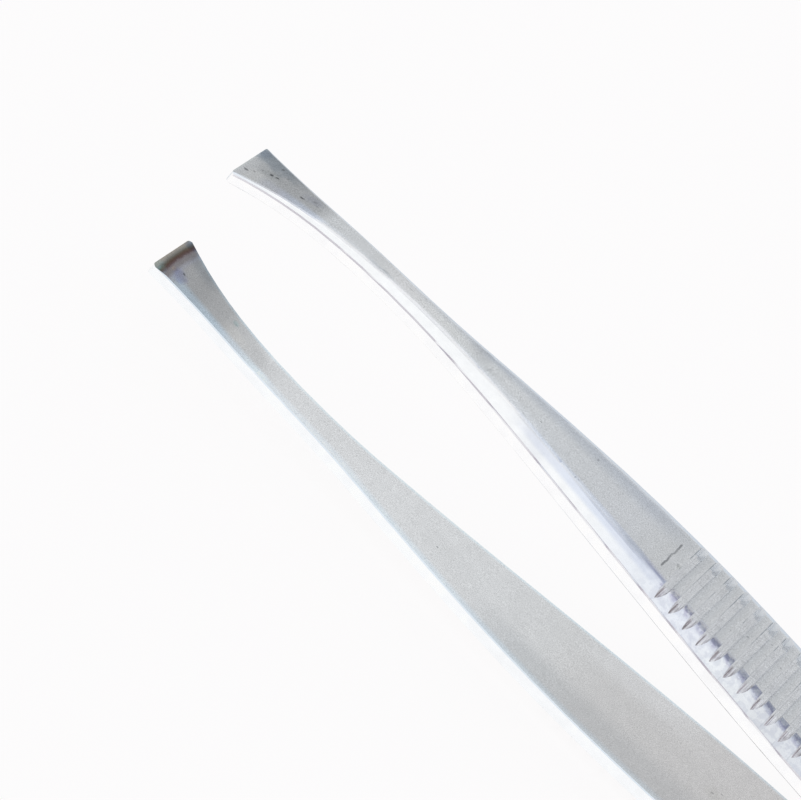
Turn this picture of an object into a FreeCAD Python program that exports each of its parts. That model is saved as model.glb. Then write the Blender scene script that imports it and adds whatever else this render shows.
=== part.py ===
import FreeCAD, Part
import math
import os

# Straight tweezers: two sprung steel arms that lie face to face at the heel
# and are welded there. The tips are flared and cut straight across.
# All sizes are in millimetres.
# Each arm is drawn along X from its tip, with the flat inner face towards
# the mid-plane and the bevelled, grooved outer face away from it.

# Whole tool
overall_length = 94.0
heel_length = 11.5
grip_lean_deg = 4.3       # lean of the flat grip faces against the mid-plane

# Outline of an arm, seen from outside
tip_width = 4.95
neck_width = 2.7
neck_x = 10.6             # narrowest place, measured from the tip
flank_deg = 8.6           # slant of the straight flank between neck and grip
neck_sweep_radius = 50.0
shoulder_radius = 145.0
grip_width = 9.75
tail_width = 6.8
tail_taper_length = 38.0
tail_taper_power = 1.5
flare_power = 3.2         # how late the tip flares out
tip_corner_radius = 0.3
tail_corner_radius = 1.5

# Curve of an arm, seen from the side
bow_radius = 293.0
bow_front_slope = 0.022
tip_bend_radius = 62.0
set_x = 55.7              # slight bend behind the grip
set_length = 5.0
root_length = 5.0         # bend where the arm leaves the heel

# Section of an arm
tip_edge_height = 0.69    # height of the square side edge
grip_edge_height = 0.85
tip_bevel_rise = 0.10     # from the side edge up to the outer flat
grip_bevel_rise = 0.77
bevel_deg = 27.0
section_taper_length = 44.0
section_power = 1.5
tip_ridge_radius = 0.25   # rounding between bevel and outer flat
grip_ridge_radius = 2.2
edge_break = 0.07         # small break on the long corners

# Gripping facet, ground across the inner face of each tip
facet_length = 1.0
facet_relief = 0.09

# Cross grooves of the grip. Both walls start upright at the outer face and
# curve in to a pointed root, which lies nearer to the wall on the tip side.
groove_pitch = 1.2
groove_count = 16
first_groove_x = 34.9     # root of the first groove
groove_front = 0.19       # from the root forward to the wall on the tip side
groove_back = 0.37        # from the root back to the other wall
groove_depth = 0.56

# What is dressed off the outside, in one plane over the grip and the tail
dressing = 0.02

# Weld round the heel, a V seam filled flush
weld_depth = 0.6
weld_height = 0.8

# How finely the long curves are followed
station_step = 4.0

# How far a cutter reaches past what it cuts
clear = 3.0
corner_overrun = 0.02
weld_overrun = 0.3

grip_slope = math.tan(math.radians(grip_lean_deg))
dressed_thickness = grip_edge_height + grip_bevel_rise - dressing
heel_front_x = overall_length - heel_length
bevel = math.radians(bevel_deg)

# The outline is a flared tip, a concave sweep out of the neck, a straight
# flank, a convex shoulder, a parallel grip and a taper to the tail.
flank_slope = math.tan(math.radians(flank_deg))
sweep_length = neck_sweep_radius * flank_slope
shoulder_length = shoulder_radius * flank_slope
flank_rise = (grip_width - neck_width - (sweep_length + shoulder_length) * flank_slope) / 2
sweep_end_x = neck_x + sweep_length
shoulder_x = sweep_end_x + flank_rise / flank_slope
grip_front_x = shoulder_x + shoulder_length
taper_x = overall_length - tail_taper_length


def half_width(x):
    if x < neck_x:
        flare = (tip_width - neck_width) / 2
        return neck_width / 2 + flare * (1 - x / neck_x) ** flare_power
    if x < sweep_end_x:
        return neck_width / 2 + (x - neck_x) ** 2 / (2 * neck_sweep_radius)
    if x < shoulder_x:
        sweep = neck_width / 2 + sweep_length * flank_slope / 2
        return sweep + (x - sweep_end_x) * flank_slope
    if x < grip_front_x:
        return grip_width / 2 - (grip_front_x - x) ** 2 / (2 * shoulder_radius)
    if x < taper_x:
        return grip_width / 2
    taper = (grip_width - tail_width) / 2
    return grip_width / 2 - taper * ((x - taper_x) / tail_taper_length) ** tail_taper_power


# Seen from the side, the inner face runs from the heel up to the grip,
# along the grip at its lean, over the bow and down to the bent-in tip.
# The plane of the outer grip face, carried on, meets the outer edge of the
# tail, so the tool lies on the grip face of one arm and on that edge.
rear_slope = grip_slope * (overall_length - set_x) / (heel_front_x - set_x)
set_front_x = set_x - set_length / 2
set_rear_x = set_x + set_length / 2
root_front_x = heel_front_x - root_length / 2
root_rear_x = heel_front_x + root_length / 2
bow_end_x = neck_x + bow_radius * (grip_slope + bow_front_slope)
bow_end_height = grip_slope * (overall_length - bow_end_x)


def bow_height(x):
    along = bow_end_x - x
    return bow_end_height + grip_slope * along - along * along / (2 * bow_radius)


def inner_height(x):
    """Height of an arm's inner face over the mid-plane."""
    if x < neck_x:
        along = neck_x - x
        drop = bow_front_slope * along + along * along / (2 * tip_bend_radius)
        return bow_height(neck_x) - drop
    if x < bow_end_x:
        return bow_height(x)
    if x < set_rear_x:
        turn = max(0.0, x - set_front_x)
        bend = (rear_slope - grip_slope) * turn * turn / (2 * set_length)
        return grip_slope * (overall_length - x) - bend
    if x < root_front_x:
        return rear_slope * (heel_front_x - x)
    left = max(0.0, root_rear_x - x)
    return rear_slope * left * left / (2 * root_length)


def toward_grip(x, at_tip, at_grip, power):
    """A size that changes from the tip on and levels off in the grip."""
    left = max(0.0, 1 - x / section_taper_length)
    return at_grip + (at_tip - at_grip) * left ** power


def edge_height(x):
    return toward_grip(x, tip_edge_height, grip_edge_height, 1)


def bevel_rise(x):
    return toward_grip(x, tip_bevel_rise, grip_bevel_rise, section_power)


def ridge_radius(x):
    grown = 1 - max(0.0, 1 - x / section_taper_length)
    return tip_ridge_radius + (grip_ridge_radius - tip_ridge_radius) * grown ** section_power


def outer_height(x):
    return inner_height(x) + edge_height(x) + bevel_rise(x)


def section(x):
    """Closed outline of the upper arm, square to X."""
    width = half_width(x)
    low = inner_height(x)
    edge = low + edge_height(x)
    top = outer_height(x)
    radius = ridge_radius(x)
    ridge = width - bevel_rise(x) / math.tan(bevel)
    reach = radius * math.tan(bevel / 2)
    half = [
        (width - edge_break, low),
        (width, low + edge_break),
        (width, edge - edge_break),
        (width - edge_break * math.cos(bevel), edge + edge_break * math.sin(bevel)),
        (ridge + reach * math.cos(bevel), top - reach * math.sin(bevel)),
        (ridge - reach, top),
    ]
    crown_y = ridge - reach + radius * math.sin(bevel / 2)
    crown_z = top - radius * (1 - math.cos(bevel / 2))
    near = [FreeCAD.Vector(x, -y, z) for y, z in half]
    far = [FreeCAD.Vector(x, y, z) for y, z in reversed(half)]
    outline = near + far
    edges = [Part.LineSegment(a, b).toShape() for a, b in zip(outline, outline[1:])]
    near_crown = FreeCAD.Vector(x, -crown_y, crown_z)
    far_crown = FreeCAD.Vector(x, crown_y, crown_z)
    edges[4] = Part.Arc(near[4], near_crown, near[5]).toShape()
    edges[6] = Part.Arc(far[0], far_crown, far[1]).toShape()
    edges.append(Part.LineSegment(far[5], near[0]).toShape())
    return Part.Wire(edges)


def stations():
    """Places of the sections: each change of curve, and even steps between."""
    marks = sorted({
        0.0, facet_length, neck_x / 2, neck_x, sweep_end_x, shoulder_x,
        bow_end_x, grip_front_x, set_front_x, set_rear_x, root_front_x,
        root_rear_x, overall_length,
    })
    places = [marks[0]]
    for start, end in zip(marks, marks[1:]):
        steps = max(1, math.ceil((end - start) / station_step))
        places += [start + (end - start) * step / steps for step in range(1, steps + 1)]
    return places


def blank():
    """Upper arm before its cuts: a smooth skin over the sections."""
    return Part.makeLoft([section(x) for x in stations()], True, False)


def corner_cutters(end_x, inward, radius):
    """What is cut away to round the two corners of one end, seen from above.

    inward is 1 at the tip and -1 at the tail.
    """
    side = half_width(end_x)
    slope = (half_width(end_x + inward * radius) - side) / radius
    slant = math.hypot(1, slope)
    centre_y = side + slope * radius - radius * slant + corner_overrun
    reach = radius * (1 + slope / slant)
    start = -clear if inward > 0 else -reach
    length = clear + reach
    block = Part.makeBox(
        length, side, 4 * clear, FreeCAD.Vector(end_x + start, centre_y, -clear))
    post = Part.makeCylinder(
        radius, 6 * clear, FreeCAD.Vector(end_x + inward * radius, centre_y, -2 * clear))
    cutter = block.cut(post)
    mid_plane = FreeCAD.Vector(0, 1, 0)
    return [cutter, cutter.mirror(FreeCAD.Vector(), mid_plane)]


def facet_cutter():
    """Wedge that grinds the gripping facet across the inner face."""
    crease = inner_height(facet_length)
    nose = inner_height(0) + facet_relief
    slope = (crease - nose) / facet_length
    points = [
        FreeCAD.Vector(facet_length, -tip_width, crease),
        FreeCAD.Vector(-clear, -tip_width, nose - slope * clear),
        FreeCAD.Vector(-clear, -tip_width, nose - clear - slope * clear),
        FreeCAD.Vector(facet_length, -tip_width, crease - clear),
    ]
    wedge = Part.Face(Part.makePolygon(points + points[:1]))
    return wedge.extrude(FreeCAD.Vector(0, 2 * tip_width, 0))


def wall_middle(reach):
    """Middle of a groove wall: an arc, upright at this distance from the root."""
    radius = (reach ** 2 + groove_depth ** 2) / (2 * reach)
    half_turn = math.atan2(groove_depth, radius - reach) / 2
    return reach - radius + radius * math.cos(half_turn), radius * math.sin(half_turn)


def groove_cutter(x):
    """Bar with a pointed nose, set square to the outer face at this place."""
    front_x, front_z = wall_middle(groove_front)
    back_x, back_z = wall_middle(groove_back)
    front = FreeCAD.Vector(-groove_front, 0, 0)
    back = FreeCAD.Vector(groove_back, 0, 0)
    root = FreeCAD.Vector(0, 0, -groove_depth)
    front_top = FreeCAD.Vector(-groove_front, 0, clear)
    back_top = FreeCAD.Vector(groove_back, 0, clear)
    profile = Part.Wire([
        Part.Arc(front, FreeCAD.Vector(-front_x, 0, -front_z), root).toShape(),
        Part.Arc(root, FreeCAD.Vector(back_x, 0, -back_z), back).toShape(),
        Part.LineSegment(back, back_top).toShape(),
        Part.LineSegment(back_top, front_top).toShape(),
        Part.LineSegment(front_top, front).toShape(),
    ])
    bar = Part.Face(profile).extrude(FreeCAD.Vector(0, 2 * grip_width, 0))
    bar.translate(FreeCAD.Vector(0, -grip_width, 0))
    fall = outer_height(x - groove_front) - outer_height(x + groove_back)
    lean = math.degrees(math.atan2(fall, groove_front + groove_back))
    bar.rotate(FreeCAD.Vector(), FreeCAD.Vector(0, 1, 0), lean)
    bar.translate(FreeCAD.Vector(x, 0, outer_height(x)))
    return bar


def dressing_cutter():
    """Block that grinds the outer grip face and the edge of the tail flat."""
    block = Part.makeBox(
        overall_length, 2 * grip_width, clear,
        FreeCAD.Vector(-overall_length, -grip_width, dressed_thickness))
    block.rotate(
        FreeCAD.Vector(0, 0, dressed_thickness), FreeCAD.Vector(0, 1, 0), grip_lean_deg)
    block.translate(FreeCAD.Vector(overall_length, 0, 0))
    return block


def heel_outline(inset, height):
    """Plan of the heel, drawn in by this much, with its tail corners round."""
    front = root_rear_x
    end = overall_length - inset
    corner = tail_corner_radius - inset
    front_y = half_width(front) - inset
    end_y = half_width(overall_length) - inset
    slope = (front_y - end_y) / (overall_length - front)
    side_end_y = end_y + slope * (corner + inset)
    diagonal = corner * (1 - math.sqrt(0.5))
    lead_y = front_y + slope * clear
    near = [
        FreeCAD.Vector(front - clear, -lead_y, height),
        FreeCAD.Vector(end - corner, -side_end_y, height),
        FreeCAD.Vector(end - diagonal, -side_end_y + diagonal, height),
        FreeCAD.Vector(end, -side_end_y + corner, height),
    ]
    far = [FreeCAD.Vector(p.x, -p.y, p.z) for p in near]
    return Part.Wire([
        Part.LineSegment(far[0], near[0]).toShape(),
        Part.LineSegment(near[0], near[1]).toShape(),
        Part.Arc(near[1], near[2], near[3]).toShape(),
        Part.LineSegment(near[3], far[3]).toShape(),
        Part.Arc(far[3], far[2], far[1]).toShape(),
        Part.LineSegment(far[1], far[0]).toShape(),
    ])


def weld_seam():
    """V ring round the sides and end of the heel, drawn past its outline."""
    flank = (weld_depth + weld_overrun) / weld_depth * weld_height / 2
    land = heel_outline(weld_depth, 0)
    above = Part.makeLoft([land, heel_outline(-weld_overrun, flank)], True, True)
    below = Part.makeLoft([land, heel_outline(-weld_overrun, -flank)], True, True)
    band = Part.makeBox(
        heel_length, grip_width, 2 * flank,
        FreeCAD.Vector(root_rear_x, -grip_width / 2, -flank))
    return band.cut(above.fuse(below))


def heel_envelope():
    """What a flush weld is ground to: the heel's own sides and end."""
    places = [x for x in stations() if x >= root_rear_x]
    slabs = []
    for x in places:
        width = half_width(x)
        corners = [(-width, -weld_height), (width, -weld_height),
                   (width, weld_height), (-width, weld_height)]
        points = [FreeCAD.Vector(x, y, z) for y, z in corners]
        slabs.append(Part.makePolygon(points + points[:1]))
    return Part.makeLoft(slabs, True, False)


def build_pieces():
    """The three pieces of the tool, either side of the mid-plane."""
    tip_corners = corner_cutters(0, 1, tip_corner_radius)
    tail_corners = corner_cutters(overall_length, -1, tail_corner_radius)
    grooves = [groove_cutter(first_groove_x + i * groove_pitch) for i in range(groove_count)]
    seam = weld_seam()
    cuts = [facet_cutter(), dressing_cutter(), seam]
    upper = blank().cut(tip_corners + tail_corners + cuts + grooves)
    weld = heel_envelope().cut(tail_corners).common(seam)
    return {
        "upper_arm": upper,
        "lower_arm": upper.mirror(FreeCAD.Vector(), FreeCAD.Vector(0, 0, 1)),
        "heel_weld": weld,
    }


def lay_down(piece):
    """Turn a piece from the mid-plane onto the surface the tool lies on.

    The origin is under the middle of the lower grip face.
    """
    middle_x = first_groove_x + (groove_count - 1) * groove_pitch / 2
    lean = math.radians(grip_lean_deg)
    rise = overall_length * math.sin(lean) + dressed_thickness * math.cos(lean)
    along = middle_x / math.cos(lean)
    piece.rotate(FreeCAD.Vector(), FreeCAD.Vector(0, 1, 0), grip_lean_deg)
    piece.translate(FreeCAD.Vector(-along, 0, rise))
    return piece


os.makedirs("parts", exist_ok=True)
for name, piece in build_pieces().items():
    solid = lay_down(piece)
    print(name, "valid", solid.isValid(), "solids", len(solid.Solids),
          "volume", round(solid.Volume, 2))
    print("  box", solid.BoundBox)
    solid.exportStep("parts/" + name + ".step")
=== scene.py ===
import math
from types import SimpleNamespace

import bpy
from mathutils import Matrix, Vector

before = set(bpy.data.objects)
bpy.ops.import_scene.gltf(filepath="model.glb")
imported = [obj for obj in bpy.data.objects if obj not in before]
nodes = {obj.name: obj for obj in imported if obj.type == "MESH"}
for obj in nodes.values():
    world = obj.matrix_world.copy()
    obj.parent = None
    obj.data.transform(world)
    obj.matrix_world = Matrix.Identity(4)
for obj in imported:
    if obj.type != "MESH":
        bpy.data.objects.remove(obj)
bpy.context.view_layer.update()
mm = 0.001

# The camera stands where the photograph was taken from.
photoView = {
    "place": (8.26, -259.10, 168.00),            # mm, in the row frame
    "right": (0.74474, 0.42345, 0.51580),
    "down": (0.65682, -0.32828, -0.67884),
    "lens": 234.87,                              # mm
    "sensorWidth": 36,                           # mm
    "nearest": 0.01,                             # m, it sees what lies between these two
    "farthest": 20,
}


def placeCamera(look):
    data = bpy.data.cameras.new("photoView")
    camera = bpy.data.objects.new("photoView", data)
    bpy.context.scene.collection.objects.link(camera)
    right = Vector(look["right"]).normalized()
    down = Vector(look["down"])
    down = (down - right * down.dot(right)).normalized()
    back = right.cross(-down)
    turn = Matrix((right, -down, back)).transposed()
    camera.matrix_world = Matrix.Translation(Vector(look["place"]) * mm) @ turn.to_4x4()
    data.lens = look["lens"]
    data.sensor_width = look["sensorWidth"]
    data.clip_start = look["nearest"]
    data.clip_end = look["farthest"]
    bpy.context.scene.camera = camera


placeCamera(photoView)
print("camera placed")


# Small helpers that keep the materials short.
def addNode(tree, kind, **values):
    made = tree.nodes.new(kind)
    for name, value in values.items():
        if hasattr(made, name):
            setattr(made, name, value)
        else:
            made.inputs[name].default_value = value
    return made


def feed(tree, socket, value):
    if isinstance(value, bpy.types.NodeSocket):
        tree.links.new(value, socket)
    else:
        socket.default_value = value


def calc(tree, operation, a, b=None, c=None, clamp=False):
    made = addNode(tree, "ShaderNodeMath", operation=operation, use_clamp=clamp)
    for socket, value in zip(made.inputs, (a, b, c)):
        if value is not None:
            feed(tree, socket, value)
    return made.outputs[0]


def product(tree, *factors):
    total = factors[0]
    for factor in factors[1:]:
        total = calc(tree, "MULTIPLY", total, factor)
    return total


def apart(tree, a, b):
    return calc(tree, "ABSOLUTE", calc(tree, "SUBTRACT", a, b))


def moved(tree, operation, a, b):
    made = addNode(tree, "ShaderNodeVectorMath", operation=operation)
    feed(tree, made.inputs[0], a)
    feed(tree, made.inputs[1], b)
    return made.outputs["Value"] if operation == "LENGTH" else made.outputs[0]


def split(tree, vector):
    made = addNode(tree, "ShaderNodeSeparateXYZ")
    feed(tree, made.inputs[0], vector)
    return made.outputs


# A soft step: 0 below the first value and 1 above the second, or the reverse.
def remap(tree, value, low, high, toLow=0.0, toHigh=1.0):
    made = addNode(tree, "ShaderNodeMapRange", interpolation_type="SMOOTHSTEP")
    for name, number in (("Value", value), ("From Min", low), ("From Max", high),
                         ("To Min", toLow), ("To Max", toHigh)):
        feed(tree, made.inputs[name], number)
    return made.outputs["Result"]


# 1 between two values and 0 outside them, with both ends this soft.
def within(tree, value, start, end, soft):
    return product(tree, remap(tree, value, start - soft, start + soft),
                   remap(tree, value, end + soft, end - soft))


def blended(tree, amount, a, b, kind="MIX"):
    made = addNode(tree, "ShaderNodeMix", data_type="RGBA", blend_type=kind)
    feed(tree, made.inputs[0], amount)
    feed(tree, made.inputs[6], a if isinstance(a, bpy.types.NodeSocket) else (*a, 1.0))
    feed(tree, made.inputs[7], b if isinstance(b, bpy.types.NodeSocket) else (*b, 1.0))
    return made.outputs[2]


def tinted(tree, mask, colour, tint):
    return blended(tree, mask, colour, tint, "MULTIPLY")


# Noise over the place in mm, with this many changes per mm each way.
def noise(tree, place, changes, detail=2.0, roughness=0.5):
    made = addNode(tree, "ShaderNodeTexNoise", Detail=detail, Roughness=roughness, Scale=1.0)
    feed(tree, made.inputs["Vector"], moved(tree, "MULTIPLY", place, changes))
    return made.outputs[0]


# The same noise about zero, this far up and down.
def waver(tree, place, changes, spread, detail=2.0, roughness=0.5):
    return calc(tree, "MULTIPLY_ADD", noise(tree, place, changes, detail, roughness), 2 * spread, -spread)


def newMaterial(name):
    material = bpy.data.materials.new(name)
    material.use_nodes = True
    material.node_tree.nodes.clear()
    return material, material.node_tree


# Colours that change with a value; the stops are (value, colour), up to this top value.
def stepped(tree, value, top, stops):
    made = addNode(tree, "ShaderNodeValToRGB")
    feed(tree, made.inputs[0], calc(tree, "DIVIDE", value, top))
    elements = made.color_ramp.elements
    while len(elements) < len(stops):
        elements.new(0.5)
    for element, (position, colour) in zip(elements, stops):
        element.position = position / top
        element.color = (*colour, 1)
    return made.outputs[0]


# Steel of the arms. Lengths are in mm: "along" counts from the tip, x and y are
# places in the row frame, and y is below zero on the near side.
upperArm = {
    "outside": 1,                                # the grooved face is upward
    # flat, bevel and side are one steel; the bevel and side colours are painted lighter, as painted light
    "flat": (0.720, 0.737, 0.753),
    "bevel": (0.905, 0.910, 0.908),
    "side": (0.985, 0.990, 1.000),
    "farRim": (0.72, 0.775, 0.825),
    # painted lighter than the flat: painted light in the grooves
    "litGrooveWall": (0.780, 0.788, 0.800),
    "grain": 1.35,                               # how much the fine grain lightens and darkens
    "roughness": 0.17,
    "grooveStart": -8.82,                        # x of the first root
    "groovePitch": 1.19,
    # the very tip, then the darker part behind it, painted shade for the dark surroundings the tip
    # reflects, then the tones along the rest of the arm
    "tipBand": [(0.0, (1.12, 1.15, 1.12)), (0.2, (1.0, 1.0, 1.0))],
    "bandSkew": 0.0,
    "tipShade": [(0.0, 0.83), (0.65, 0.71), (0.95, 0.65), (1.8, 0.63), (2.6, 0.585), (3.2, 0.58),
                (4.2, 0.62), (5.0, 0.66), (5.6, 0.82), (6.2, 0.93), (7.5, 0.98), (8.5, 1.0)],
    "alongTone": [(0.0, (1.0, 1.0, 1.0)), (8.5, (1.0, 1.0, 1.0)), (10.0, (0.965, 0.96, 0.955)),
                  (11.5, (1.06, 1.04, 1.03)), (15.5, (1.06, 1.05, 1.03)), (18.0, (0.97, 0.975, 0.97)),
                  (20.5, (1.02, 1.02, 1.02)), (24.0, (0.97, 0.975, 0.98)), (31.0, (0.965, 0.965, 0.98)),
                  (33.5, (0.93, 0.925, 0.92)), (35.0, (0.895, 0.895, 0.90)), (54.0, (0.90, 0.90, 0.90))],
    "bevelTone": [(0.0, (0.84, 0.88, 0.93)), (3.0, (1.0, 1.0, 1.0)), (22.5, (1.0, 1.0, 1.0)),
                  (24.0, (0.91, 0.92, 0.94)), (25.5, (1.0, 1.0, 1.0)), (28.0, (1.0, 1.0, 1.0)),
                  (33.0, (0.89, 0.91, 0.95)), (38.0, (0.87, 0.88, 0.92)), (40.0, (0.94, 0.95, 0.95)),
                  (44.0, (0.82, 0.82, 0.82)), (48.0, (0.87, 0.87, 0.87))],
    "bevelMottle": 0.30,                         # on the grip
    # painted light and shade on one side of the middle: share of the half width from and to, along from and
    # to, softness, colour
    "lightAndShadeStrips": [
        (0.05, 0.50, 13.0, 33.4, 2.0, (0.81, 0.835, 0.88)),
        (-0.15, -0.45, 5.0, 24.0, 3.0, (1.07, 1.08, 1.10)),
        (-0.10, -0.40, 0.6, 1.6, 0.3, (1.18, 1.17, 1.15)),
        (-0.20, -0.55, 1.6, 3.4, 0.4, (1.10, 1.11, 1.17)),
        (-0.20, -0.55, 3.2, 5.8, 0.8, (1.14, 1.20, 1.33)),
        (-0.20, -0.55, 5.4, 7.2, 0.5, (1.11, 1.11, 1.12)),
    ],
    # painted sheen and shade just inside the near ridge: along from and to, softness, reach inward, colour
    "ridgeSheenAndShade": [
        (1.6, 22.5, 1.6, 0.30, (1.21, 1.18, 1.15)),
        (5.7, 11.5, 0.6, 0.34, (1.10, 1.08, 1.06)),
        (22.5, 30.5, 1.5, 0.30, (1.03, 1.06, 1.11)),
        (30.8, 60.0, 1.0, 0.30, (0.88, 0.90, 0.93)),
        (33.0, 34.6, 0.5, 0.45, (0.90, 0.88, 0.95)),
    ],
    # painted shade on the bevel under the near ridge: along from and to, softness, colour
    "bevelShadeStrips": [
        (22.5, 34.0, 1.5, (0.85, 0.87, 0.93)),
        (25.5, 30.5, 1.5, (0.95, 0.97, 1.0)),
    ],
    "edgeSheenStrips": [],
    "farEdgeReflection": (1.0, 1.0, 1.0),
    # stains, and painted light where the colour is above 1: x, y, length, width, turn in degrees, colour
    "stainsAndPaintedLight": [
        (-42.7, 1.9, 5.0, 2.9, -10, (0.60, 0.65, 0.70)),
        (-43.5, 1.6, 1.3, 1.1, 0, (0.74, 0.78, 0.84)),
        (-42.0, 0.0, 1.6, 0.9, 20, (0.84, 0.85, 0.85)),
        (-39.2, 0.5, 1.5, 1.0, 20, (0.84, 0.85, 0.90)),
        (-33.4, -0.6, 2.6, 0.6, 0, (0.86, 0.88, 0.90)),
        (-25.9, 0.5, 1.9, 1.7, 0, (0.90, 0.90, 0.91)),
        (-21.1, 1.80, 3.8, 0.8, 5, (0.52, 0.60, 0.80)),
        (-24.5, 1.1, 2.6, 0.9, 5, (0.93, 0.94, 0.97)),
        (-8.95, -0.60, 0.75, 0.55, 30, (0.86, 0.87, 0.85)),
    ],
    # x, y, length, width, turn in degrees, darkness
    "spots": [
        (-43.28, -1.16, 0.34, 0.22, 0, 0.70), (-42.89, -0.82, 0.20, 0.15, 40, 0.50),
        (-42.65, -0.18, 0.16, 0.15, 0, 0.45), (-42.07, -0.02, 0.30, 0.24, 60, 0.95),
        (-41.71, 0.08, 0.26, 0.18, 20, 0.90), (-41.93, 1.26, 0.24, 0.18, 30, 0.75),
        (-41.27, 0.74, 0.22, 0.12, 80, 0.40), (-39.79, -0.06, 0.32, 0.20, 10, 0.88),
        (-39.10, 0.45, 0.40, 0.22, 50, 0.40), (-38.85, 0.20, 0.25, 0.18, 0, 0.35),
        (-43.75, -2.55, 0.28, 0.22, 0, 0.60), (-33.20, -0.35, 0.55, 0.14, 10, 0.26),
        (-31.40, 0.10, 0.30, 0.12, 0, 0.28), (-24.85, -0.35, 0.80, 0.20, 65, 0.22),
        (-25.60, 0.90, 0.70, 0.25, 20, 0.18), (-20.58, -0.45, 0.16, 0.12, 0, 0.40),
        (-20.05, -0.60, 0.12, 0.10, 0, 0.35), (-16.90, -2.05, 0.24, 0.12, 80, 0.45),
        (-16.65, -1.95, 0.16, 0.12, 0, 0.35), (-16.76, 1.11, 0.16, 0.24, 0, 0.42),
        (-17.40, 1.90, 0.22, 0.15, 0, 0.25), (-9.19, -0.49, 0.34, 0.24, 90, 0.30),
        (-9.05, -2.05, 0.12, 0.10, 0, 0.35), (-7.79, 1.05, 0.16, 0.12, 0, 0.35),
        (-4.45, -1.07, 0.16, 0.12, 0, 0.32), (-3.46, -0.14, 0.22, 0.16, 60, 0.45),
        (-2.15, 1.30, 0.18, 0.14, 0, 0.35), (-0.85, 0.30, 0.16, 0.12, 0, 0.32),
    ],
    # x, y from and to, half width, darkness
    "scratches": [(-9.86, -1.85, 1.35, 0.095, 0.66)],
    "pitShare": 0.05,                            # share of cells that hold a small pit
}
lowerArm = {
    "outside": -1,
    # flat, bevel and side are one steel; the bevel and side colours are painted lighter, as painted light
    "flat": (0.824, 0.832, 0.838),
    "bevel": (0.930, 0.945, 0.955),
    "side": (0.960, 0.982, 1.000),
    "farRim": (0.72, 0.80, 0.86),
    # painted lighter than the flat: painted light in the grooves
    "litGrooveWall": (0.84, 0.85, 0.87),
    "grain": 1.10,
    "roughness": 0.19,
    "grooveStart": -9.62,
    "groovePitch": 1.2025,
    "tipBand": [(0.0, (0.98, 0.88, 0.75)), (0.06, (0.94, 0.85, 0.74)), (0.15, (0.83, 0.77, 0.69)),
                (0.25, (0.55, 0.53, 0.48)), (0.35, (0.35, 0.32, 0.27)), (0.43, (0.28, 0.205, 0.155)),
                (0.53, (0.25, 0.145, 0.115)), (0.63, (0.30, 0.20, 0.20)), (0.72, (0.50, 0.42, 0.44)),
                (0.82, (0.60, 0.55, 0.57)), (0.95, (0.62, 0.58, 0.59)), (1.05, (0.72, 0.69, 0.73)),
                (1.2, (0.90, 0.905, 0.98)), (1.4, (0.97, 0.96, 0.97)), (1.6, (1.0, 1.0, 1.0))],
    "bandSkew": 0.14,                            # how much further back the near end lies
    # painted shade behind the tip, as on the upper arm
    "tipShade": [(0.0, 0.51), (2.0, 0.515), (3.0, 0.495), (4.0, 0.55), (5.0, 0.59), (6.0, 0.71),
                (7.0, 0.78), (8.1, 0.79), (9.0, 0.90), (10.0, 0.96), (12.0, 1.0)],
    "alongTone": [(0.0, (1.0, 1.0, 1.0)), (9.0, (1.0, 1.0, 1.0)), (20.0, (1.01, 1.01, 1.01)),
                  (28.0, (0.96, 0.96, 0.96)), (32.0, (0.92, 0.92, 0.915)), (36.0, (0.845, 0.83, 0.82)),
                  (54.0, (0.82, 0.785, 0.77))],
    "bevelTone": [(0.0, (1.0, 1.0, 1.0)), (54.0, (1.0, 1.0, 1.0))],
    "bevelMottle": 0.1,
    # painted light and shade, as on the upper arm
    "lightAndShadeStrips": [
        (-0.35, -0.75, 1.6, 5.6, 0.7, (1.13, 1.31, 1.46)),
        (-0.35, -0.75, 5.6, 9.4, 0.6, (1.10, 1.20, 1.29)),
        (-0.35, -0.75, 7.6, 9.4, 0.4, (1.08, 1.08, 1.06)),
        (-0.40, -0.80, 9.0, 17.0, 1.5, (1.08, 1.14, 1.20)),
        (0.30, 0.70, 7.5, 9.1, 0.5, (1.12, 1.12, 1.12)),
        (-0.15, -0.60, 28.6, 60.0, 2.6, (0.88, 0.89, 0.90)),
        (0.20, 0.70, 0.9, 3.0, 0.6, (0.78, 0.81, 0.84)),
        (0.25, 0.75, 34.0, 42.0, 2.0, (1.11, 1.12, 1.13)),
    ],
    "ridgeSheenAndShade": [],
    "bevelShadeStrips": [],
    # painted sheen just inside the near edge: along from and to, softness, reach inward, colour
    "edgeSheenStrips": [
        (17.0, 60.0, 2.0, 0.80, (1.0, 1.085, 1.16)),
        (30.0, 60.0, 2.5, 0.45, (1.14, 1.12, 1.09)),
    ],
    # painted bluish reflection along the far edge
    "farEdgeReflection": (1.08, 1.22, 1.31),
    "stainsAndPaintedLight": [
        (-43.95, 2.1, 0.9, 1.2, 0, (0.66, 0.74, 0.90)),
        # the patches with colours above 1 are painted light, the others stains
        (-44.00, -2.0, 0.9, 1.6, 0, (0.95, 1.12, 1.18)),
        (-43.72, -2.1, 0.5, 1.4, 0, (1.25, 1.60, 1.70)),
        (-42.85, -0.95, 1.2, 1.3, 20, (0.74, 0.77, 0.95)),
        (-43.42, -0.95, 0.35, 0.55, 0, (1.22, 1.12, 1.00)),
        (-38.70, 0.6, 0.5, 0.5, 0, (0.84, 0.95, 0.95)),
        (-38.20, -0.2, 2.4, 1.2, 10, (1.08, 1.07, 1.05)),
        (0.9, -0.1, 1.6, 1.2, 0, (0.94, 0.94, 0.93)),
    ],
    "spots": [
        (-42.79, -0.45, 0.22, 0.18, 0, 0.75), (-41.66, -1.08, 0.14, 0.12, 0, 0.50),
        (-41.40, -1.65, 0.40, 0.10, 5, 0.35), (-38.63, 0.53, 0.26, 0.20, 0, 0.18),
        (-20.86, -0.56, 0.16, 0.12, 0, 0.55), (0.82, -0.13, 0.30, 0.22, 30, 0.35),
        (1.30, 0.45, 0.22, 0.16, 0, 0.25),
    ],
    "scratches": [],
    "pitShare": 0.0,
}

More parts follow.
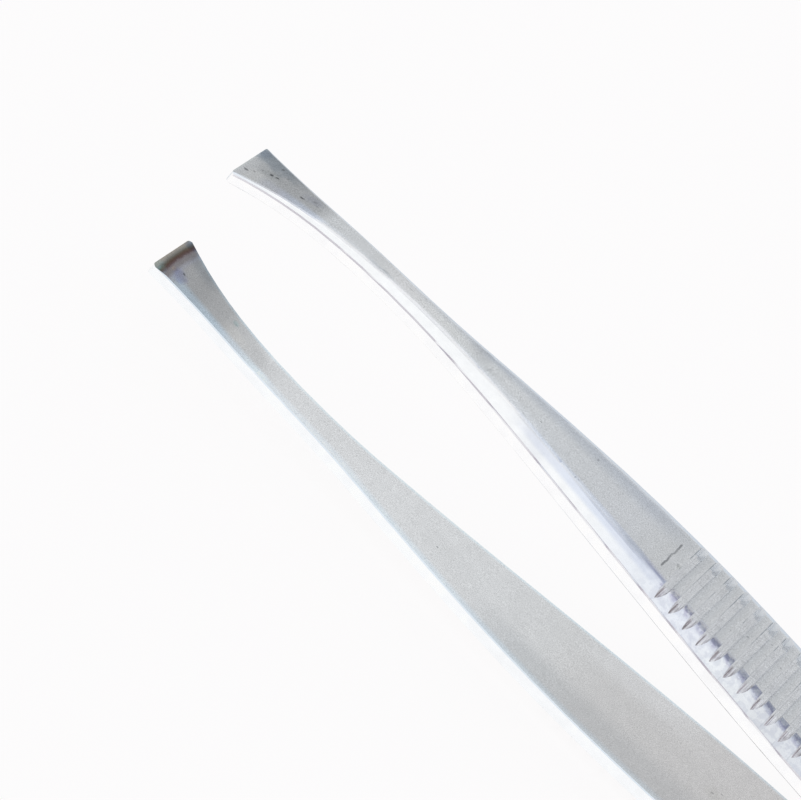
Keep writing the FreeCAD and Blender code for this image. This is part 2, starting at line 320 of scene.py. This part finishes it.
# What both arms share. Tints multiply the colour below them.
steel = {
    "reach": 54.0,                               # how far from the tip the tones go
    "tipReach": 12.0,                            # and those of the tip
    "bandReach": 1.8,
    "widthMarks": 26,                            # places where the width is measured
    "grooves": 16,
    # lean of a face out of level, from one finish to the next: across the arm, then along it
    "leanOfBevel": (0.14, 0.38),
    "leanOfSide": (0.65, 0.95),
    "leanOfRim": (0.15, 0.35),
    "leanOfWall": (0.20, 0.34),
    "leanOfSteepWall": (0.65, 0.95),
    # mm in from the near ridge, below zero on the bevel
    "archReach": (0.75, 0.15),
    "rootReach": (-1.3, -0.9),
    "ridgeReach": ((0.40, 0.10), (-0.30, -0.05)),
    "footReach": ((-0.60, -0.30), (0.0, -0.15)),
    "shadeReach": ((-0.80, -0.45), (0.0, -0.25)),
    "farEdgeReflectionReach": (0.45, 0.05),                # in from the far edge, where its reflection is painted
    "wallEndReach": (0.20, -0.05),               # in from the far ridge
    # noises: changes per mm each way, detail, roughness
    "cloudNoise": ((0.22, 0.35, 0.35), 2.0, 0.5),
    "patchNoise": ((1.4, 1.4, 1.4), 3.0, 0.6),
    "mottleNoise": ((2.2, 2.2, 2.2), 3.0, 0.6),
    "blotchNoise": ((3.2, 3.2, 3.2), 3.0, 0.6),
    "toolNoise": ((14, 0.4, 0), 2.0, 0.6),
    "breakNoise": ((0.8, 0.6, 0.8), 3.0, 0.5),
    "gapNoise": ((2.0, 3.0, 2.0), 3.0, 0.5),
    # wavers: changes per mm each way, how far up and down, detail, roughness
    "toneWaver": ((0.5, 0.8, 0.8), 0.6, 3.0, 0.5),
    "bandWaver": ((3.0, 2.0, 2.0), 0.14, 4.0, 0.65),
    "stainWaver": ((1.6, 1.6, 1.6), 0.5, 4.0, 0.6),
    "spotWaver": ((7, 7, 7), 0.65, 2.0, 0.5),
    "scratchWaver": ((0, 1.3, 0), 0.15, 3.0, 0.5),
    "cloudShade": (0.98, 1.015),                 # darkest and lightest
    "patchShade": (0.98, 1.02),
    "roughnessSpread": 0.03,                     # up and down, with the clouds
    "dirtRoughness": 0.3,
    "pitCells": 1.1,                             # per mm
    "pitSize": (0.075, 0.035),                   # where a pit ends and where it is full
    "pitDarkness": 0.35,
    "bevelWidth": [(0.0, 0.20), (5.0, 0.41), (10.0, 0.62), (15.0, 0.81), (20.0, 0.98), (30.0, 1.28),
                   (40.0, 1.48), (54.0, 1.51)],
    "grainSize": 0.07,
    "dirt": (0.10, 0.105, 0.11),
    # colour of the painted shade line along each groove
    "lineShade": (0.13, 0.17, 0.21),
    "edgeShadeLine": 0.70,                            # painted shade: a dark line along the tip side of each groove
    "linePhase": 0.125,                          # its place in front of the root, in groove pitches
    "mottle": (0.56, 0.58, 0.69),
    "toolLines": ((0.965, 0.965, 0.97), (1.02, 1.02, 1.02)),      # dark and light, on the flat
    "archLines": ((0.64, 0.61, 0.62), (1.16, 1.16, 1.20)),        # and in the arches on the bevel
    # painted shade in the groove roots, a painted highlight beside them, and painted light on the steep
    # walls
    "rootShadeTint": (0.66, 0.60, 0.60),
    "shineTint": (1.34, 1.34, 1.42),
    "steepWallLight": (1.12, 1.12, 1.12),
    "ridgeReflectionTints": ((0.88, 0.82, 0.82), (1.34, 1.24, 1.08)),       # blotches of painted reflection along the near ridge
    "footShadeTint": (0.70, 0.68, 0.76),              # painted shade under that ridge, between the arches
    # painted shade and light across each rib, by its place between two roots
    "ribShading": [(0.0, (1.0, 1.0, 1.0)), (0.22, (0.99, 0.99, 0.99)), (0.28, (0.955, 0.96, 0.965)),
                (0.45, (0.96, 0.965, 0.97)), (0.55, (0.985, 0.985, 0.985)), (0.68, (1.03, 1.025, 1.02)),
                (0.78, (1.055, 1.045, 1.04)), (0.86, (1.03, 1.03, 1.03)), (1.0, (1.0, 1.0, 1.0))],
    "rimMatt": 0.88,                             # how dull the far rim is
    "litWallEnd": (0.84, 0.85, 0.85),               # dull far ends of the groove walls, painted light against their shade
    "bump": 0.22,
    "bumpHeight": 0.02,
    "grainHeight": 0.12,                         # as a share of a pit's depth
}


# Half the width of an arm at places along it, read from its own mesh.
def halfWidths(node, places):
    points = [node.matrix_world @ vertex.co / mm for vertex in node.data.vertices]
    widths = [0.0] * len(places)
    for edge in node.data.edges:
        a, b = sorted((points[i] for i in edge.vertices), key=lambda point: point.x)
        for i, place in enumerate(places):
            if a.x < place < b.x:
                part = (place - a.x) / (b.x - a.x)
                widths[i] = max(widths[i], a.y + (b.y - a.y) * part)
    return widths


# A length that changes along the arm, from (along, length) pairs.
def lengthAlong(tree, along, pairs):
    longest = max(length for mark, length in pairs)
    stops = [(mark, (length / longest,) * 3) for mark, length in pairs]
    return calc(tree, "MULTIPLY", stepped(tree, along, steel["reach"], stops), longest)


# Where each point of an arm lies and which way it faces; the masks below share it.
def armPlaces(tree, node, look):
    at = SimpleNamespace()
    coords = addNode(tree, "ShaderNodeTexCoord")
    at.place = moved(tree, "MULTIPLY", coords.outputs["Object"], (1 / mm, 1 / mm, 1 / mm))
    at.flatPlace = moved(tree, "MULTIPLY", at.place, (1, 1, 0))
    x, y, z = split(tree, at.place)
    tip = min(corner[0] for corner in node.bound_box) / mm
    at.along = calc(tree, "SUBTRACT", x, tip)

    # across: share of the half width, mm in from each edge and mm in from each ridge
    count = steel["widthMarks"]
    marks = [steel["reach"] * (i / count) ** 1.5 for i in range(1, count + 1)]
    widths = halfWidths(node, [tip + mark for mark in marks])
    halfWidth = lengthAlong(tree, at.along, list(zip(marks, widths)))
    bevelWidth = lengthAlong(tree, at.along, steel["bevelWidth"])
    at.share = calc(tree, "DIVIDE", y, halfWidth)
    at.fromNear = calc(tree, "ADD", halfWidth, y)
    at.fromFar = calc(tree, "SUBTRACT", halfWidth, y)
    at.inward = calc(tree, "SUBTRACT", at.fromNear, bevelWidth)
    at.inwardFar = calc(tree, "SUBTRACT", at.fromFar, bevelWidth)

    # how far a face leans: the slant is across the arm, the tilt along it, as on a groove's walls
    faces = split(tree, addNode(tree, "ShaderNodeNewGeometry").outputs["Normal"])
    at.farward = faces[1]
    at.tilt = calc(tree, "ABSOLUTE", faces[0])
    at.slant = calc(tree, "ABSOLUTE", faces[1])
    at.upward = remap(tree, faces[2], 0.15, 0.5)
    at.level = product(tree, at.upward, remap(tree, at.slant, 0.34, 0.14))
    at.onBevel = product(tree, remap(tree, at.slant, 0.10, 0.36), remap(tree, at.slant, 0.80, 0.60))

    # the tones along the arm, with its painted light and shade, follow a wavy line across it, straight only
    # at the tip
    wander = waver(tree, at.place, *steel["toneWaver"])
    at.wandered = calc(tree, "ADD", at.along, product(tree, wander, remap(tree, at.along, 1.0, 4.0)))

    # the row of grooves, counted in pitches from its first root
    at.turn = calc(tree, "DIVIDE", calc(tree, "SUBTRACT", x, look["grooveStart"]), look["groovePitch"])
    last = steel["grooves"] - 0.5
    inRow = product(tree, remap(tree, at.turn, -0.4, -0.35), remap(tree, at.turn, last + 0.1, last))
    outward = calc(tree, "MULTIPLY", faces[2], look["outside"])
    at.grooved = product(tree, inRow, remap(tree, outward, 0.1, 0.4))
    at.wall = product(tree, remap(tree, at.tilt, *steel["leanOfWall"]), inRow)
    at.offWall = remap(tree, at.wall, 1.0, 0.0)
    return at


# Colour by the way a face points: the bevel and the side are painted lighter than the flat of the same
# steel, painted light for the brighter surroundings they face; clouded on the bevel of the grip.
def facedColour(tree, at, look):
    colour = blended(tree, remap(tree, at.slant, *steel["leanOfBevel"]), look["flat"], look["bevel"])
    colour = tinted(tree, at.onBevel, colour, stepped(tree, at.along, steel["reach"], look["bevelTone"]))
    cloudy = remap(tree, noise(tree, at.place, *steel["mottleNoise"]), 0.62, 0.40)
    onGrip = remap(tree, at.along, 32.0, 36.0, 0.15, 1.0)
    mottle = product(tree, at.onBevel, cloudy, onGrip, look["bevelMottle"])
    colour = tinted(tree, mottle, colour, steel["mottle"])
    return blended(tree, remap(tree, at.slant, *steel["leanOfSide"]), colour, look["side"])


# Tones along the arm, then the painted shade at the tip and the dark band at its very end.
def tonedAlong(tree, at, look, colour):
    colour = tinted(tree, at.level, colour, stepped(tree, at.wandered, steel["reach"], look["alongTone"]))
    tipShadeStops = [(mark, (tone, tone, tone)) for mark, tone in look["tipShade"]]
    colour = tinted(tree, at.level, colour, stepped(tree, at.wandered, steel["tipReach"], tipShadeStops))
    skew = look["bandSkew"]
    nearSkew = product(tree, remap(tree, at.share, -0.2, -0.9), -skew)
    farSkew = product(tree, remap(tree, at.share, 0.2, 0.9), -0.4 * skew)
    ragged = product(tree, waver(tree, at.place, *steel["bandWaver"]), remap(tree, at.along, 0.1, 0.5))
    banded = calc(tree, "ADD", calc(tree, "ADD", at.along, calc(tree, "ADD", nearSkew, farSkew)), ragged)
    return tinted(tree, at.level, colour, stepped(tree, banded, steel["bandReach"], look["tipBand"]))


# Painted light and shade in strips along the arm: inside it, at its near ridge, on the bevel under that
# ridge and at its edges, and a painted reflection along the far edge.
def stripped(tree, at, look, colour):
    for shareFrom, shareTo, start, end, soft, tint in look["lightAndShadeStrips"]:
        mask = product(tree, remap(tree, at.share, shareFrom, shareTo), at.level,
                       within(tree, at.wandered, start, end, soft))
        colour = tinted(tree, mask, colour, tint)
    for start, end, soft, reachIn, tint in look["ridgeSheenAndShade"]:
        mask = product(tree, remap(tree, at.inward, reachIn, 0.0), remap(tree, at.inward, -0.14, 0.0),
                       at.upward, within(tree, at.wandered, start, end, soft))
        colour = tinted(tree, mask, colour, tint)
    low, high = steel["shadeReach"]
    underRidge = product(tree, remap(tree, at.inward, *low), remap(tree, at.inward, *high), at.upward)
    for start, end, soft, tint in look["bevelShadeStrips"]:
        mask = product(tree, underRidge, within(tree, at.wandered, start, end, soft))
        colour = tinted(tree, mask, colour, tint)
    for start, end, soft, reachIn, tint in look["edgeSheenStrips"]:
        mask = product(tree, remap(tree, at.fromNear, reachIn, reachIn * 0.2), at.level,
                       within(tree, at.wandered, start, end, soft))
        colour = tinted(tree, mask, colour, tint)
    farEdgeReflection = product(tree, remap(tree, at.fromFar, *steel["farEdgeReflectionReach"]), at.level)
    return tinted(tree, farEdgeReflection, colour, look["farEdgeReflection"])


# How far a point lies from the middle of an ellipse; 1 is its edge.
def ellipse(tree, place, x, y, length, width, turn):
    made = addNode(tree, "ShaderNodeMapping", vector_type="TEXTURE")
    feed(tree, made.inputs["Vector"], place)
    made.inputs["Location"].default_value = (x, y, 0)
    made.inputs["Rotation"].default_value = (0, 0, math.radians(turn))
    made.inputs["Scale"].default_value = (length / 2, width / 2, 1)
    return moved(tree, "LENGTH", made.outputs[0], (0, 0, 0))


# Stains as soft ellipses; where a colour is above 1 it is painted light.
def stainedAndLit(tree, at, stainsAndPaintedLight, colour):
    ragged = waver(tree, at.place, *steel["stainWaver"])
    for x, y, length, width, turn, tint in stainsAndPaintedLight:
        out = calc(tree, "ADD", ellipse(tree, at.flatPlace, x, y, length, width, turn), ragged)
        colour = tinted(tree, calc(tree, "MULTIPLY", remap(tree, out, 1.25, 0.45), at.level), colour, tint)
    return colour


def spotted(tree, at, spots):
    crumbly = waver(tree, at.place, *steel["spotWaver"])
    total = 0.0
    for x, y, length, width, turn, darkness in spots:
        out = calc(tree, "ADD", ellipse(tree, at.flatPlace, x, y, length, width, turn), crumbly)
        total = calc(tree, "MAXIMUM", total, remap(tree, out, 1.35, 0.45, 0.0, darkness))
    return total


# Wavy scratches across the arm, darker at their ends.
def scratched(tree, at, scratches):
    total = 0.0
    x, y, z = split(tree, at.place)
    wave = waver(tree, at.place, *steel["scratchWaver"])
    for middle, start, end, halfWidth, darkness in scratches:
        away = calc(tree, "ABSOLUTE", calc(tree, "ADD", calc(tree, "SUBTRACT", x, middle), wave))
        fade = remap(tree, calc(tree, "ABSOLUTE", y), 0.1, 1.3, darkness - 0.18, darkness)
        mark = product(tree, remap(tree, away, halfWidth, halfWidth * 0.3), fade,
                       remap(tree, y, start - 0.12, start + 0.05), remap(tree, y, end + 0.12, end - 0.05))
        total = calc(tree, "MAXIMUM", total, mark)
    return total


# Small round pits, one in this share of the cells.
def pitted(tree, at, share):
    cells = addNode(tree, "ShaderNodeTexVoronoi", Scale=steel["pitCells"])
    feed(tree, cells.inputs["Vector"], at.place)
    chosen = calc(tree, "LESS_THAN", split(tree, cells.outputs["Color"])[0], share)
    pit = remap(tree, cells.outputs["Distance"], *steel["pitSize"])
    return product(tree, pit, chosen, steel["pitDarkness"])


def dirty(tree, at, look):
    marks = calc(tree, "MAXIMUM", spotted(tree, at, look["spots"]), scratched(tree, at, look["scratches"]))
    return product(tree, calc(tree, "MAXIMUM", marks, pitted(tree, at, look["pitShare"])), at.level)


# Walls of the grooves, painted lighter than the flat with more painted light where steep, painted shade in
# the roots and a painted highlight beside them: almost plain on the flat, streaked in the arches on the
# near bevel.
def walled(tree, at, look, colour):
    inArch = remap(tree, at.inward, *steel["archReach"])
    dark, light = (blended(tree, inArch, flat, arch)
                   for flat, arch in zip(steel["toolLines"], steel["archLines"]))
    lines = noise(tree, at.place, *steel["toolNoise"])
    tone = blended(tree, remap(tree, lines, 0.38, 0.58), dark, light)
    fromRoot = calc(tree, "SUBTRACT", calc(tree, "FRACT", calc(tree, "ADD", at.turn, 0.5)), 0.5)
    rootShade = product(tree, remap(tree, apart(tree, fromRoot, -0.02), 0.045, 0.01),
                    remap(tree, inArch, 0.0, 1.0, 0.08, 0.9), remap(tree, at.inward, *steel["rootReach"]))
    tone = tinted(tree, rootShade, tone, steel["rootShadeTint"])
    # painted highlight: a bright streak beside each root in the arches
    shiny = product(tree, remap(tree, apart(tree, fromRoot, 0.10), 0.06, 0.02), inArch)
    tone = tinted(tree, shiny, tone, steel["shineTint"])
    tone = tinted(tree, remap(tree, at.tilt, *steel["leanOfSteepWall"]), tone, steel["steepWallLight"])
    return blended(tree, at.wall, colour, tinted(tree, 1.0, look["litGrooveWall"], tone))


# Ribs between the grooves, painted shade and light across each rib, with blotches of painted reflection
# along the near ridge and painted shade at its foot.
def ribbed(tree, at, colour):
    ribShading = stepped(tree, calc(tree, "FRACT", at.turn), 1.0, steel["ribShading"])
    colour = tinted(tree, product(tree, at.level, at.grooved), colour, ribShading)
    blotch = remap(tree, noise(tree, at.place, *steel["blotchNoise"]), 0.38, 0.62)
    inner, outer = steel["ridgeReach"]
    ridgeReflection = product(tree, at.grooved, remap(tree, at.turn, 0.15, 0.30), remap(tree, at.inward, *inner),
                    remap(tree, at.inward, *outer), at.offWall)
    colour = tinted(tree, ridgeReflection, colour, blended(tree, blotch, *steel["ridgeReflectionTints"]))
    ribPart = calc(tree, "FRACT", calc(tree, "SUBTRACT", at.turn, 0.31))
    low, high = steel["footReach"]
    footShade = product(tree, remap(tree, at.inward, *low), remap(tree, at.inward, *high),
                   at.grooved, at.offWall, remap(tree, ribPart, 0.0, 0.25),
                   remap(tree, blotch, 0.9, 0.2, 0.15, 0.85))
    return tinted(tree, footShade, colour, steel["footShadeTint"])


# The thin, broken line of painted shade along the tip side of each groove, on the far half.
def edgeShaded(tree, at):
    broken = product(tree, remap(tree, noise(tree, at.place, *steel["breakNoise"]), 0.42, 0.55),
                     remap(tree, noise(tree, at.place, *steel["gapNoise"]), 0.25, 0.50))
    farHalf = product(tree, remap(tree, at.share, -0.25, 0.35, 0.2, 1.0), remap(tree, at.share, 0.85, 0.75))
    phase = calc(tree, "FRACT", calc(tree, "ADD", at.turn, 0.5 + steel["linePhase"]))
    return product(tree, remap(tree, apart(tree, phase, 0.5), 0.050, 0.015), at.grooved, broken, farHalf,
                   remap(tree, at.tilt, 0.30, 0.12), steel["edgeShadeLine"])


def armMaterial(name, node, look):
    material, tree = newMaterial(name)
    at = armPlaces(tree, node, look)
    colour = facedColour(tree, at, look)
    colour = tonedAlong(tree, at, look, colour)
    colour = stripped(tree, at, look, colour)
    colour = stainedAndLit(tree, at, look["stainsAndPaintedLight"], colour)
    colour = walled(tree, at, look, colour)
    colour = ribbed(tree, at, colour)

    # even, fine grain, a little cloudy
    cloud = noise(tree, at.place, *steel["cloudNoise"])
    patch = noise(tree, at.place, *steel["patchNoise"])
    fine = 1 / steel["grainSize"]
    grain = noise(tree, at.place, (fine, fine, fine), 2.0, 0.7)
    strength = remap(tree, at.slant, 0.08, 0.40, look["grain"], 0.06)
    shade = product(tree, remap(tree, cloud, 0.3, 0.7, *steel["cloudShade"]),
                    remap(tree, patch, 0.3, 0.7, *steel["patchShade"]),
                    calc(tree, "MULTIPLY_ADD", calc(tree, "SUBTRACT", grain, 0.5), strength, 1.0))
    colour = tinted(tree, 1.0, colour, shade)

    # dirt lies dark, dull and a little deeper
    dirt = dirty(tree, at, look)
    colour = blended(tree, dirt, colour, steel["dirt"])
    # painted shade along the tip side of each groove
    colour = blended(tree, edgeShaded(tree, at), colour, steel["lineShade"])
    shader = addNode(tree, "ShaderNodeBsdfPrincipled", Metallic=1.0)
    feed(tree, shader.inputs["Base Color"], colour)
    spread = steel["roughnessSpread"]
    rough = calc(tree, "MULTIPLY_ADD", cloud, 2 * spread, look["roughness"] - spread)
    rough = calc(tree, "MULTIPLY_ADD", dirt, steel["dirtRoughness"], rough)
    feed(tree, shader.inputs["Roughness"], rough)
    bump = addNode(tree, "ShaderNodeBump", Strength=steel["bump"], Distance=steel["bumpHeight"] * mm)
    grainHeight = calc(tree, "MULTIPLY", grain, steel["grainHeight"])
    feed(tree, bump.inputs["Height"], calc(tree, "MULTIPLY_ADD", dirt, -1.0, grainHeight))
    feed(tree, shader.inputs["Normal"], bump.outputs[0])

    # the far rim and the far ends of the grooves are made dull and diffuse, the groove ends painted light
    # against their shade
    dull = addNode(tree, "ShaderNodeBsdfDiffuse")
    litWallEnd = product(tree, at.wall, remap(tree, at.inwardFar, *steel["wallEndReach"]))
    feed(tree, dull.inputs[0], blended(tree, litWallEnd, look["farRim"], steel["litWallEnd"]))
    rim = calc(tree, "MAXIMUM", remap(tree, at.farward, *steel["leanOfRim"]), litWallEnd)
    mix = addNode(tree, "ShaderNodeMixShader")
    feed(tree, mix.inputs[0], calc(tree, "MULTIPLY", rim, steel["rimMatt"]))
    tree.links.new(shader.outputs[0], mix.inputs[1])
    tree.links.new(dull.outputs[0], mix.inputs[2])
    output = addNode(tree, "ShaderNodeOutputMaterial")
    tree.links.new(mix.outputs[0], output.inputs[0])
    return material


# Weld round the heel, ground flush.
weld = {
    "colour": (0.70, 0.71, 0.72),
    "roughness": 0.34,
    "grain": ((6.0, 6.0, 14.0), 3.0, 0.6),       # changes per mm each way, detail, roughness
    "shade": (0.86, 0.22),                       # darkest, and how much lighter the grain makes it
    "roughnessSpread": 0.12,
    "bump": 0.4,
    "bumpHeight": 0.03,                          # mm
}


def weldMaterial(look):
    material, tree = newMaterial("groundWeld")
    shader = addNode(tree, "ShaderNodeBsdfPrincipled", Metallic=1.0)
    output = addNode(tree, "ShaderNodeOutputMaterial")
    tree.links.new(shader.outputs[0], output.inputs[0])
    coords = addNode(tree, "ShaderNodeTexCoord")
    place = moved(tree, "MULTIPLY", coords.outputs["Object"], (1 / mm, 1 / mm, 1 / mm))
    grain = noise(tree, place, *look["grain"])
    darkest, lighter = look["shade"]
    shade = calc(tree, "MULTIPLY_ADD", grain, lighter, darkest)
    feed(tree, shader.inputs["Base Color"], tinted(tree, 1.0, look["colour"], shade))
    rough = calc(tree, "MULTIPLY_ADD", grain, look["roughnessSpread"], look["roughness"])
    feed(tree, shader.inputs["Roughness"], rough)
    bump = addNode(tree, "ShaderNodeBump", Strength=look["bump"], Distance=look["bumpHeight"] * mm)
    feed(tree, bump.inputs["Height"], grain)
    feed(tree, shader.inputs["Normal"], bump.outputs[0])
    return material


def finishNode(name, material):
    nodes[name].data.materials.clear()
    nodes[name].data.materials.append(material)


finishNode("upper_arm", armMaterial("upperSteel", nodes["upper_arm"], upperArm))
finishNode("lower_arm", armMaterial("lowerSteel", nodes["lower_arm"], lowerArm))
finishNode("heel_weld", weldMaterial(weld))
print("steel finished")

# Floor, lamp and surroundings of a plain table-top studio.
studio = {
    "floorRadius": 3.0,                          # m
    "floorSides": 96,
    "floorDrop": 0.02,                           # mm below the object
    "floorColour": (1.0, 0.99, 0.99),
    "floorGlow": 0.90,                           # share of plain white, the rest takes the shadow
    "lampHeight": 0.6,                           # m
    "lampSize": 0.42,                            # m
    "lampPower": 0.12,                           # W
    # brightness round the object by height above the horizon, as a share of 90 degrees
    "farSide": [(0.0, (0.82, 0.83, 0.84)), (0.34, (0.78, 0.79, 0.80)), (0.42, (0.78, 0.79, 0.80)),
                (0.55, (0.84, 0.86, 0.90)), (0.80, (0.85, 0.86, 0.88)), (1.0, (0.82, 0.83, 0.84))],
    "farSideCard": [(0.0, (0.82, 0.83, 0.84)), (0.36, (0.78, 0.79, 0.80)), (0.44, (0.72, 0.74, 0.79)),
                    (0.56, (0.36, 0.41, 0.54)), (0.74, (0.38, 0.44, 0.60)), (0.88, (0.82, 0.85, 0.90)),
                    (1.0, (0.82, 0.83, 0.84))],
    "cardEdge": (0.02, 0.14),                    # the dark card stands to the right of this
    "nearSide": [(0.0, (0.93, 0.93, 0.93)), (0.32, (0.90, 0.90, 0.92)), (0.37, (0.44, 0.39, 0.45)),
                 (0.43, (0.44, 0.40, 0.47)), (0.49, (0.80, 0.88, 0.95)), (0.80, (0.84, 0.87, 0.92)),
                 (1.0, (0.82, 0.83, 0.84))],
    "sideChange": (-0.3, 0.2),                   # the near side turns into the far side here
}


def buildFloor(look):
    sides = look["floorSides"]
    size = look["floorRadius"]
    angles = [2 * math.pi * i / sides for i in range(sides)]
    ring = [(size * math.cos(a), size * math.sin(a), -look["floorDrop"] * mm) for a in angles]
    mesh = bpy.data.meshes.new("floor")
    mesh.from_pydata(ring, [], [list(range(sides))])
    floor = bpy.data.objects.new("floor", mesh)
    bpy.context.scene.collection.objects.link(floor)
    material, tree = newMaterial("paleFloor")
    output = addNode(tree, "ShaderNodeOutputMaterial")
    diffuse = addNode(tree, "ShaderNodeBsdfDiffuse", Color=(*look["floorColour"], 1))
    glow = addNode(tree, "ShaderNodeEmission", Color=(*look["floorColour"], 1))
    path = addNode(tree, "ShaderNodeLightPath")
    mirrored = calc(tree, "MAXIMUM", path.outputs["Is Glossy Ray"], path.outputs["Is Transmission Ray"])
    seen = calc(tree, "MULTIPLY", path.outputs["Is Camera Ray"], look["floorGlow"])
    mix = addNode(tree, "ShaderNodeMixShader")
    feed(tree, mix.inputs[0], calc(tree, "MAXIMUM", mirrored, seen))
    tree.links.new(diffuse.outputs[0], mix.inputs[1])
    tree.links.new(glow.outputs[0], mix.inputs[2])
    tree.links.new(mix.outputs[0], output.inputs[0])
    mesh.materials.append(material)


def buildWorld(look):
    world = bpy.data.worlds.new("studio")
    bpy.context.scene.world = world
    world.use_nodes = True
    tree = world.node_tree
    tree.nodes.clear()
    output = addNode(tree, "ShaderNodeOutputWorld")
    background = addNode(tree, "ShaderNodeBackground", Strength=1.0)
    tree.links.new(background.outputs[0], output.inputs[0])
    x, y, z = split(tree, addNode(tree, "ShaderNodeTexCoord").outputs["Generated"])
    height = calc(tree, "MULTIPLY", calc(tree, "ARCSINE", z), 2 / math.pi, clamp=True)
    plain = stepped(tree, height, 1.0, look["farSide"])
    card = stepped(tree, height, 1.0, look["farSideCard"])
    near = stepped(tree, height, 1.0, look["nearSide"])
    far = blended(tree, remap(tree, x, *look["cardEdge"]), plain, card)
    feed(tree, background.inputs[0], blended(tree, remap(tree, y, *look["sideChange"]), near, far))


def hangLamp(look):
    data = bpy.data.lights.new("softbox", "AREA")
    data.shape = "SQUARE"
    data.size = look["lampSize"]
    data.energy = look["lampPower"]
    lamp = bpy.data.objects.new("softbox", data)
    lamp.location = (0, 0, look["lampHeight"])
    bpy.context.scene.collection.objects.link(lamp)


buildFloor(studio)
buildWorld(studio)
hangLamp(studio)
bpy.context.scene.view_settings.view_transform = "Standard"
print("floor, lamp and surroundings made")
